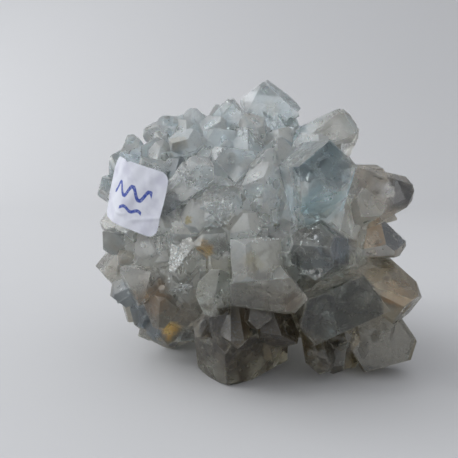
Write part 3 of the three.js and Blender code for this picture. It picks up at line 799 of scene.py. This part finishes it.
# The share of a mark: `strength` within the core, and falling to 0 at the reach, both in mm
def within(tree, where, place, reach, core, strength=1.0):
    away = vectorCalc(tree, "DISTANCE", where, Vector(place) * mm, "Value")
    return ramp(tree, away, reach * mm, core * mm, 0, strength)


# "rim" is the colour of a painted highlight along the crystals' edges
crystalLook = {
    "blue": (0.76, 0.87, 0.92, 1), "grey": (0.95, 0.93, 0.88, 1), "milk": (1.0, 1.0, 0.98, 1),
    "dark": (0.2, 0.25, 0.27, 1), "olive": (0.21, 0.17, 0.09, 1), "smoke": (0.63, 0.56, 0.47, 1),
    "rim": (0.95, 0.96, 0.95, 1), "slate": (0.40, 0.50, 0.58, 1), "sand": (0.86, 0.81, 0.72, 1),
    "cloudSize": 13 * mm, "veilSize": 2.2 * mm, "pocketSize": 2.2 * mm * 2.4, "mottleSize": 0.9 * mm,
    "patchSize": 1.1 * mm, "raggedSize": 3 * mm, "ragged": 6 * mm, "frostSize": 5 * mm,
    "waveSize": 2.5 * mm, "grainSize": 0.4 * mm, "rimWidth": 0.3 * mm, "splinter": 0.55 * mm,
    "stripe": 0.7 * mm,
    "shader": {"IOR": 1.62, "Transmission Weight": 0.85, "Subsurface Weight": 1.0,
               "Subsurface Radius": (1.0, 1.0, 0.95), "Subsurface Scale": 5 * mm},
    "absorption": {"Color": (0.60, 0.66, 0.66, 1), "Density": 9},
}

# Places whose colour stands out, among them painted shade, shadow, light and glints: where, how wide,
# colour, and how strong
marks = [
    # These six marks darken the lower left: a painted shade, with blue and brown tints
    ("shade of the lower left", (-23, -20, 16), 15, (0.1, 0.065, 0.03), 0.9),
    ("blue shade of the lower left", (-33, -15, 19), 8, (0.12, 0.18, 0.25), 0.7),
    ("blue shade over the orange corner", (-26, -16, 12.5), 6, (0.1, 0.15, 0.21), 0.7),
    ("brown shade of the lower left", (-25, -21, 22), 6, (0.32, 0.18, 0.08), 0.75),
    ("brown shade under the label", (-36, -14, 31), 5, (0.5, 0.38, 0.27), 0.5),
    ("dark lower left", (-27, -18, 27), 5, (0.16, 0.15, 0.14), 0.5),
    ("pale patch under the label", (-29, -19, 33), 10, (1, 0.97, 0.91), 0.85),
    ("olive middle", (-8, -28, 31), 13, (0.5, 0.48, 0.38), 0.4),
    # painted shade: the columns over the front foot are made dark brown
    ("painted shade on the columns over the front foot", (-5.5, -31.5, 18), 8, (0.02, 0.013, 0.007), 0.95),
    ("milky middle", (-13, -20, 53), 14, (1, 0.99, 0.96), 0.45),
    # painted light: the crown at the top is whitened
    ("painted light on the crown", (4, 1, 74), 13, (0.97, 1, 1), 0.6),
    # painted glint: a white spot on the crown's lower left
    ("painted glint on the crown", (0.2, 2, 73), 3.5, (1, 1, 1), 0.95),
    ("warm spot of the crown", (6.4, 0.3, 71.5), 3, (0.8, 0.72, 0.58), 0.6),
    ("dark heart of the blue crystal", (13.6, -32.4, 57), 9, (0.09, 0.155, 0.18), 0.87),
    ("left pocket of the blue crystal", (9.6, -32.9, 53), 4, (0.05, 0.1, 0.13), 0.7),
    ("right pocket of the blue crystal", (19.2, -29.6, 52), 4.5, (0.05, 0.11, 0.15), 0.7),
    # painted light: the blue crystal's foot is made pale, as if lit through the crystal
    ("painted light in the foot of the blue crystal", (14.2, -30.2, 45.5), 7, (0.6, 0.8, 0.86), 0.85),
    ("cream facet", (-19.6, -17.9, 60.6), 4, (0.62, 0.56, 0.46), 0.8),
    ("dark crystal beside the label", (-19.6, -18.8, 55.7), 5.5, (0.08, 0.13, 0.18), 0.85),
    # painted shade: the crevice beside the label is darkened
    ("painted shade in the crevice beside the label", (-20.9, -21.3, 45.4), 5.5, (0.06, 0.08, 0.1), 0.85),
    ("dark facet over the rust", (-15.5, -24.5, 37.5), 3, (0.1, 0.1, 0.09), 0.7),
    ("dark facet right of the rust", (-8, -27.5, 37), 4.5, (0.12, 0.12, 0.11), 0.6),
    ("slate crystal of the middle", (-3, -26.5, 47), 4, (0.3, 0.38, 0.42), 0.5),
    ("ochre streak", (-15.9, -25.8, 41.9), 2, (0.5, 0.37, 0.1), 0.9),
    ("rust spot", (-12, -27, 35.1), 3, (0.55, 0.3, 0.06), 0.95),
    ("core of the rust spot", (-12.2, -27, 34.6), 1.2, (0.05, 0.03, 0.02), 0.9),
    # A whitened band: partly the white of crushed crystal, partly a painted sparkle
    ("sparkling band", (-21.4, -22.2, 32.9), 4, (0.85, 0.85, 0.82), 0.5),
    ("grey knob", (-18.2, -21.9, 24.1), 5, (0.45, 0.45, 0.42), 0.6),
    ("orange corner", (-22.4, -14.1, 11.8), 4.5, (0.8, 0.42, 0.06), 1),
    # painted shadow: the recess beside the front foot is made nearly black
    ("painted shadow in the recess", (-16.3, -11.5, 6.5), 6.5, (0.03, 0.022, 0.016), 0.92),
    # painted shade: a hollow near the front foot is darkened
    ("painted shade in the hollow", (-11.3, -30.2, 17.9), 2.5, (0.05, 0.04, 0.03), 0.8),
    ("bluish end of the upper right prism", (27, -7.2, 66.7), 4, (0.55, 0.66, 0.72), 0.7),
    ("beige side of the upper right prism", (21.7, -6.4, 66.3), 8, (0.66, 0.64, 0.58), 0.75),
    ("dark end of the right prism", (39.5, -12.3, 48), 6.5, (0.06, 0.065, 0.08), 0.92),
    # painted light: a white patch of light seen through the right prism
    ("painted light through the right prism", (35.3, -12.7, 49), 3, (1, 1, 0.98), 0.95),
    ("orange patch", (33, -13, 39.5), 3, (0.62, 0.36, 0.14), 0.7),
    ("dark facet of the lower right prism", (36.4, -16.5, 36.5), 5.5, (0.08, 0.09, 0.1), 0.9),
    ("top facet of the dark crystal", (16, -33.5, 43), 7, (0.16, 0.17, 0.14), 0.85),
    ("dark side of the dark crystal", (18.8, -33.4, 35), 9, (0.06, 0.09, 0.12), 0.92),
    ("frosted foot of the dark crystal", (13.1, -34.4, 31), 3, (0.55, 0.58, 0.58), 0.5),
    ("yellow spot of the pale crystal", (-0.4, -37.8, 34.4), 2.5, (0.62, 0.56, 0.36), 0.6),
    ("pale crystal", (3, -33, 37), 7, (0.9, 0.91, 0.86), 0.5),
    ("stain of the right crystal", (34.8, -26.2, 25.2), 5.5, (0.6, 0.3, 0.09), 0.9),
    ("pale broken end of the right crystal", (38.5, -26, 24), 3, (0.85, 0.82, 0.74), 0.7),
    ("dark keel", (20.7, -30.2, 25.5), 9, (0.1, 0.12, 0.11), 0.8),
    # painted glint: a small white spot on the keel
    ("painted glint on the keel", (22.4, -29, 28.1), 1.5, (0.9, 0.9, 0.88), 0.7),
    ("warm side of the right foot", (29.1, -17.4, 8), 4, (0.62, 0.52, 0.38), 0.6),
    # painted shade: the front foot and the foot between the feet are darkened brown
    ("front foot", (2, -26, 9), 21, (0.085, 0.056, 0.022), 0.95),
    ("foot between the feet", (21, -22, 6), 9, (0.07, 0.058, 0.042), 0.88),
    ("brown edge of the keel", (8, -36, 25), 3, (0.2, 0.13, 0.07), 0.7),
    # painted glint: a small cream spot on the keel
    ("painted cream glint on the keel", (24.5, -29.5, 28.6), 1.8, (0.85, 0.72, 0.55), 0.8),
]

# Faces of the large crystals that are lighter or darker than the rest, some of them painted light: where, how
# wide, which way the face looks, colour, and how strong
faceShades = [
    # painted glint: the face on the crown's left edge is made white
    ("left edge of the crown", (-0.7, 2.7, 73), 4, (-0.67, -0.73, 0.02), (1, 1, 1), 0.95),
    ("front of the crown", (6, 1, 74), 9, (-0.28, -0.92, -0.28), (0.78, 0.84, 0.84), 0.6),
    ("upper left of the blue crystal", (10, -30.1, 56.1), 9, (-0.62, -0.21, 0.76), (0.72, 0.72, 0.68), 0.7),
    # The next three faces are lighter: painted light seen through the blue crystal's lower faces
    ("lower middle of the blue crystal", (14.5, -32.1, 48), 9, (0.3, -0.8, -0.52), (0.72, 0.93, 1), 0.85),
    ("lower right of the blue crystal", (19.8, -30.2, 47.5), 9, (0.72, -0.62, -0.3), (0.55, 0.78, 0.88), 0.7),
    ("lower left of the blue crystal", (9, -32.8, 47.5), 9, (-0.42, -0.8, -0.42), (0.66, 0.78, 0.8), 0.7),
    ("right side of the dark crystal", (18, -34, 36), 11, (0.87, -0.49, 0.01), (0.05, 0.08, 0.12), 0.92),
    ("top of the dark crystal", (12, -35.5, 40.5), 9, (-0.34, -0.6, 0.73), (0.07, 0.075, 0.06), 0.93),
    ("underside of the dark crystal", (12, -35.5, 34), 8, (-0.42, -0.76, -0.49), (0.09, 0.105, 0.11), 0.9),
    ("upper right of the crown", (11, 0.5, 73), 9, (0.61, -0.4, 0.69), (0.5, 0.58, 0.58), 0.7),
    ("facet of the sparkling band", (-18.5, -25, 33), 8, (-0.43, -0.75, 0.51), (0.24, 0.24, 0.21), 0.85),
    ("left face of the pillar", (-11, -33.5, 27), 8, (-0.46, -0.85, 0.25), (0.36, 0.36, 0.3), 0.8),
    ("keel", (20, -30.5, 24), 12, (0.1, -0.99, 0.11), (0.045, 0.05, 0.04), 0.94),
    ("right foot", (33, -17.5, 9), 14, (-0.18, -0.88, 0.43), (0.36, 0.345, 0.3), 0.85),
    ("top of the stained crystal", (35.2, -26.3, 25.2), 10, (0.1, -0.45, 0.89), (0.36, 0.27, 0.14), 0.8),
    ("end of the stained crystal", (37, -28.9, 23.5), 8, (-0.21, -0.94, 0.25), (0.74, 0.6, 0.42), 0.75),
    ("orange face of the right prism", (31.4, -14.1, 37.7), 5, (-0.51, -0.64, 0.58), (0.66, 0.44, 0.26), 0.6),
    ("dark face of the right prism", (35.4, -16.3, 37.2), 8, (0.33, -0.7, 0.63), (0.05, 0.06, 0.08), 0.95),
    ("pale stripe of the right prism", (33, -18.5, 33.8), 7, (-0.38, -0.89, -0.24), (0.98, 0.99, 1), 0.9),
]


# Blue and grey clouds with milky veils. Small crystals are whiter, with frost, and some have a slate or sandy
# cast. The cluster is smoky on the right and has dark pockets. It turns darker and olive towards its feet,
# more so on the right: a painted shade. Each layer lies over the ones before it.
def bodyColour(tree, look, where, tone, clear):
    place = addNode(tree, "SeparateXYZ", {"Vector": where}).outputs
    clouds = noise(tree, where, look["cloudSize"], 4)
    clouds = calc(tree, "SUBTRACT", clouds, ramp(tree, place["Z"], 40 * mm, 70 * mm, -0.04, 0.14))
    milky = noise(tree, where, look["veilSize"], 5, 0.65, 0.6)
    cast = calc(tree, "FRACT", times(tree, tone, 7.3))
    # how strong the painted shade at the feet is from left to right: stronger towards the right
    low = ramp(tree, place["X"], -40 * mm, 20 * mm, 0.7, 1)
    pockets = ramp(tree, noise(tree, where, look["pocketSize"], 3, 0.5), 0.55, 0.75, 0, 0.35)
    layers = [
        ("grey", ramp(tree, clouds, 0.38, 0.56)),
        ("milk", ramp(tree, milky, 0.5, 0.75, 0, 0.55)),
        ("milk", times(tree, ramp(tree, clear, 1, 0, 0, 0.8), ramp(tree, tone, 0, 1, 0.4, 1))),
        ("slate", ramp(tree, cast, 0.3, 0, 0, 0.35)),
        ("sand", ramp(tree, cast, 0.7, 1, 0, 0.4)),
        ("smoke", ramp(tree, place["X"], 14 * mm, 34 * mm, 0, 0.85)),
        # painted shade: darker and olive towards the feet
        ("olive", times(tree, ramp(tree, place["Z"], 52 * mm, 6 * mm), low)),
        ("dark", times(tree, pockets, ramp(tree, clear, 0, 1, 0.3, 1))),
    ]
    colour = look["blue"]
    for name, share in layers:
        colour = mixColour(tree, share, colour, look[name])
    return colour


# Lays the marks and then the face shades over the colour, each over the ones before it. They are strongest
# within a core, a share of their reach.
def markedColour(tree, colour, ragged, flat):
    markCore, shadeCore = 0.45, 0.8
    for _, place, reach, tint, strength in marks:
        share = within(tree, ragged, place, reach, markCore * reach, strength)
        colour = mixColour(tree, share, colour, (*tint, 1))
    for _, place, reach, facing, tint, strength in faceShades:
        share = within(tree, ragged, place, reach, shadeCore * reach, strength)
        aligned = vectorCalc(tree, "DOT_PRODUCT", flat, Vector(facing).normalized(), "Value")
        share = times(tree, share, ramp(tree, aligned, 0.94, 0.985))
        colour = mixColour(tree, share, colour, (*tint, 1))
    return colour


# How crushed a point is: in patches, on the splinters and round the crushed places
def crushedShare(tree, look, where, ragged, tone):
    share = ramp(tree, tone, 1, splinterTone)
    for _, place, reach, _ in crushed:
        share = calc(tree, "MAXIMUM", share, within(tree, ragged, place, 1.1 * reach, 0.5 * reach))
    patchy = noise(tree, where, look["patchSize"], 3, 0.6)
    return times(tree, share, ramp(tree, patchy, 0.47, 0.58))


# Rounded edges with soft waves, a fine grain, growth stripes in patches, and small facets where it is
# crushed. The wave texture repeats every 0.314 over its scale.
def crystalNormal(tree, look, where, rounded, frosted, broken):
    normal = bump(tree, noise(tree, where, look["waveSize"], 2), 0.3, 0.5 * mm, rounded)
    normal = bump(tree, noise(tree, where, look["grainSize"], 3), 0.25, 0.07 * mm, normal)
    inputs = {"Vector": where, "Scale": 0.314 / look["stripe"], "Distortion": 3, "Detail": 2}
    stripes = addNode(tree, "TexWave", inputs, bands_direction="DIAGONAL").outputs["Fac"]
    stripes = times(tree, stripes, ramp(tree, frosted, 0.45, 0.6))
    normal = bump(tree, stripes, 0.3, 0.03 * mm, normal)
    bits = addNode(tree, "TexVoronoi", {"Vector": where, "Scale": 1 / look["splinter"]}).outputs["Color"]
    bits = scatter(tree, bits, times(tree, broken, 0.7))
    turned = vectorCalc(tree, "ADD", normal, bits)
    return addNode(tree, "VectorMath", {0: turned}, operation="NORMALIZE").outputs[0]


def crystalMaterial(look):
    material, tree, shader = newMaterial("celestite")
    where = addNode(tree, "TexCoord", {}).outputs["Object"]
    tone = addNode(tree, "Attribute", {}, attribute_name="tone").outputs["Fac"]
    clear = addNode(tree, "Attribute", {}, attribute_name="clear").outputs["Fac"]
    flat = addNode(tree, "NewGeometry", {}).outputs["True Normal"]
    rounded = addNode(tree, "Bevel", {"Radius": look["rimWidth"]}, samples=4).outputs[0]
    shift = addNode(tree, "TexNoise", {"Vector": where, "Scale": 1 / look["raggedSize"], "Detail": 3})
    ragged = vectorCalc(tree, "ADD", where, scatter(tree, shift.outputs["Color"], look["ragged"]))
    colour = bodyColour(tree, look, where, tone, clear)
    colour = markedColour(tree, colour, ragged, flat)
    mottle = noise(tree, where, look["mottleSize"], 6, 0.7)
    colour = mixColour(tree, ramp(tree, mottle, 0.5, 0.3, 0, 0.35), colour, look["dark"])
    colour = mixColour(tree, ramp(tree, mottle, 0.5, 0.72, 0, 0.2), colour, look["milk"])
    # painted highlight: edges are lighter where the rounded normal turns away from the face's own
    rim = ramp(tree, vectorCalc(tree, "DOT_PRODUCT", rounded, flat, "Value"), 0.995, 0.85, 0, 0.25)
    colour = mixColour(tree, rim, colour, look["rim"])
    broken = crushedShare(tree, look, where, ragged, tone)
    # Crushed places are whitened: the white of crushed crystal, with a painted sparkle
    colour = mixColour(tree, times(tree, broken, 0.8), colour, look["milk"])
    frosted = noise(tree, where, look["frostSize"], 3)
    dull = calc(tree, "ADD", ramp(tree, frosted, 0.35, 0.65, 0.1, 0.32), ramp(tree, clear, 1, 0, 0, 0.2))
    dull = calc(tree, "SUBTRACT", dull, times(tree, broken, 0.2))
    normal = crystalNormal(tree, look, where, rounded, frosted, broken)
    setInputs(tree, shader, {"Base Color": colour, "Roughness": dull, "Normal": normal, **look["shader"]})
    absorption = addNode(tree, "VolumeAbsorption", look["absorption"]).outputs["Volume"]
    setInputs(tree, tree.nodes["Material Output"], {"Volume": absorption})
    return material


# Splinters scatter the light like snow, so they are white and let none through; their white is also a painted
# sparkle
splinterLook = {
    "white": (0.93, 0.95, 0.94, 1), "grey": (0.42, 0.47, 0.48, 1), "patch": 0.9 * mm,
    "roughness": 0.2, "ior": 1.62,
}


def splinterMaterial(look):
    material, tree, shader = newMaterial("splinters")
    where = addNode(tree, "TexCoord", {}).outputs["Object"]
    share = ramp(tree, noise(tree, where, look["patch"], 3), 0.4, 0.62)
    colour = mixColour(tree, share, look["white"], look["grey"])
    setInputs(tree, shader, {"Base Color": colour, "Roughness": look["roughness"], "IOR": look["ior"]})
    return material


# Two pen strokes, measured on the paper in widths of the label: each runs from left to right about a
# height, as height + swing * sin(waves * x). The distance to it is divided by sqrt(1 + slope^2), so that
# the pen is as thick on the slopes as on the tops.
penStrokes = [
    {"from": 0.17, "to": 0.83, "height": 0.55, "swing": 0.07, "waves": 26, "thick": 0.029},
    {"from": 0.38, "to": 0.74, "height": 0.33, "swing": 0.02, "waves": 30, "thick": 0.026},
]
paperLook = {
    "paper": (0.535, 0.545, 0.60, 1), "shade": (0.445, 0.45, 0.52, 1), "ink": (0.012, 0.04, 0.26, 1),
    "cloud": 0.25, "fibre": 0.012, "blot": 0.03, "end": 0.01, "roughness": 0.7,
}


def penInk(tree, place, end):
    ink = 0.0
    for v in penStrokes:
        turn = times(tree, place["X"], v["waves"])
        height = times(tree, calc(tree, "SINE", turn), v["swing"])
        height = calc(tree, "ADD", height, v["height"])
        slope = times(tree, calc(tree, "COSINE", turn), v["swing"] * v["waves"])
        steep = calc(tree, "SQRT", calc(tree, "ADD", times(tree, slope, slope), 1))
        away = calc(tree, "ABSOLUTE", calc(tree, "SUBTRACT", place["Y"], height))
        stroke = ramp(tree, calc(tree, "DIVIDE", away, steep), v["thick"], v["thick"] * 0.6)
        stroke = times(tree, stroke, ramp(tree, place["X"], v["from"], v["from"] + end))
        stroke = times(tree, stroke, ramp(tree, place["X"], v["to"], v["to"] - end))
        ink = calc(tree, "MAXIMUM", ink, stroke)
    return ink


def paperMaterial(look):
    material, tree, shader = newMaterial("labelPaper")
    where = addNode(tree, "UVMap", {}, uv_map="paper").outputs[0]
    ink = penInk(tree, addNode(tree, "SeparateXYZ", {"Vector": where}).outputs, look["end"])
    cloud = noise(tree, where, look["cloud"], 3)
    colour = mixColour(tree, ramp(tree, cloud, 0.4, 0.65), look["paper"], look["shade"])
    ink = times(tree, ink, ramp(tree, noise(tree, where, look["blot"], 2), 0.25, 0.6, 0.7, 1))
    colour = mixColour(tree, ink, colour, look["ink"])
    fibre = bump(tree, noise(tree, where, look["fibre"], 5, 0.7), 0.25, 0.08 * mm)
    setInputs(tree, shader, {"Base Color": colour, "Normal": fibre, "Roughness": look["roughness"]})
    return material


cluster.data.materials.append(crystalMaterial(crystalLook))
cluster.data.materials.append(splinterMaterial(splinterLook))
tones = np.zeros(len(cluster.data.polygons), np.float32)
cluster.data.attributes["tone"].data.foreach_get("value", tones)
cluster.data.polygons.foreach_set("material_index", (tones > splinterTone - 0.5).astype(np.int32))
label.data.materials.append(paperMaterial(paperLook))
for piece, node, slot in ((cluster, "crystal_cluster", "celestite"), (label, "paper_label", "label_paper")):
    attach(piece, "root")
    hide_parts(node)
tell("materials made")

studio = {
    "front": -3.0, "turn": 0.5, "back": 1.5, "height": 1.6, "width": 7, "steps": 24, "roughness": 0.7,
    "colour": (0.47, 0.47, 0.48, 1), "sky": (0.95, 0.97, 1.0, 1), "skyPower": 0.87,
}


# A pale floor that turns up into a wall behind the cluster: flat, and then a quarter of an ellipse
def makeFloor(v):
    rise = np.linspace(0, np.pi / 2, v["steps"])
    y = np.append(v["front"], v["turn"] + (v["back"] - v["turn"]) * np.sin(rise))
    z = np.append(0, v["height"] * (1 - np.cos(rise)))
    sides = [np.column_stack([np.full(len(y), x), y, z]) for x in (-v["width"] / 2, v["width"] / 2)]
    i = np.arange(len(y) - 1)
    quads = np.column_stack([i, i + len(y), i + len(y) + 1, i + 1])
    mesh = bpy.data.meshes.new("floor")
    mesh.from_pydata(np.vstack(sides), [], quads.tolist())
    mesh.shade_smooth()
    floor = newPiece("floor", mesh)
    material, tree, shader = newMaterial("floor")
    setInputs(tree, shader, {"Base Color": v["colour"], "Roughness": v["roughness"]})
    mesh.materials.append(material)


# The lamps look at the middle of the cluster
lamps = [
    {"name": "window", "place": (-1.15, 0.05, 0.85), "size": 1.7, "power": 20, "colour": (0.97, 0.99, 1.0)},
    {"name": "lamp", "place": (-0.75, -0.25, 0.75), "size": 0.1, "power": 0.8, "colour": (1.0, 0.99, 0.96)},
]


def makeLamp(v, aim=(0, 0, 0.04)):
    lamp = bpy.data.lights.new(v["name"], "AREA")
    lamp.size = v["size"]
    lamp.energy = v["power"]
    lamp.color = v["colour"]
    stand = newPiece(v["name"], lamp)
    stand.location = v["place"]
    stand.rotation_euler = (Vector(aim) - Vector(v["place"])).to_track_quat("-Z", "Y").to_euler()


def makeSky(v):
    scene.world = bpy.data.worlds.new("studio")
    scene.world.use_nodes = True
    tree = scene.world.node_tree
    setInputs(tree, tree.nodes["Background"], {"Color": v["sky"], "Strength": v["skyPower"]})
    scene.view_settings.view_transform = "Standard"


makeFloor(studio)
for lamp in lamps:
    makeLamp(lamp)
makeSky(studio)
tell("studio set")
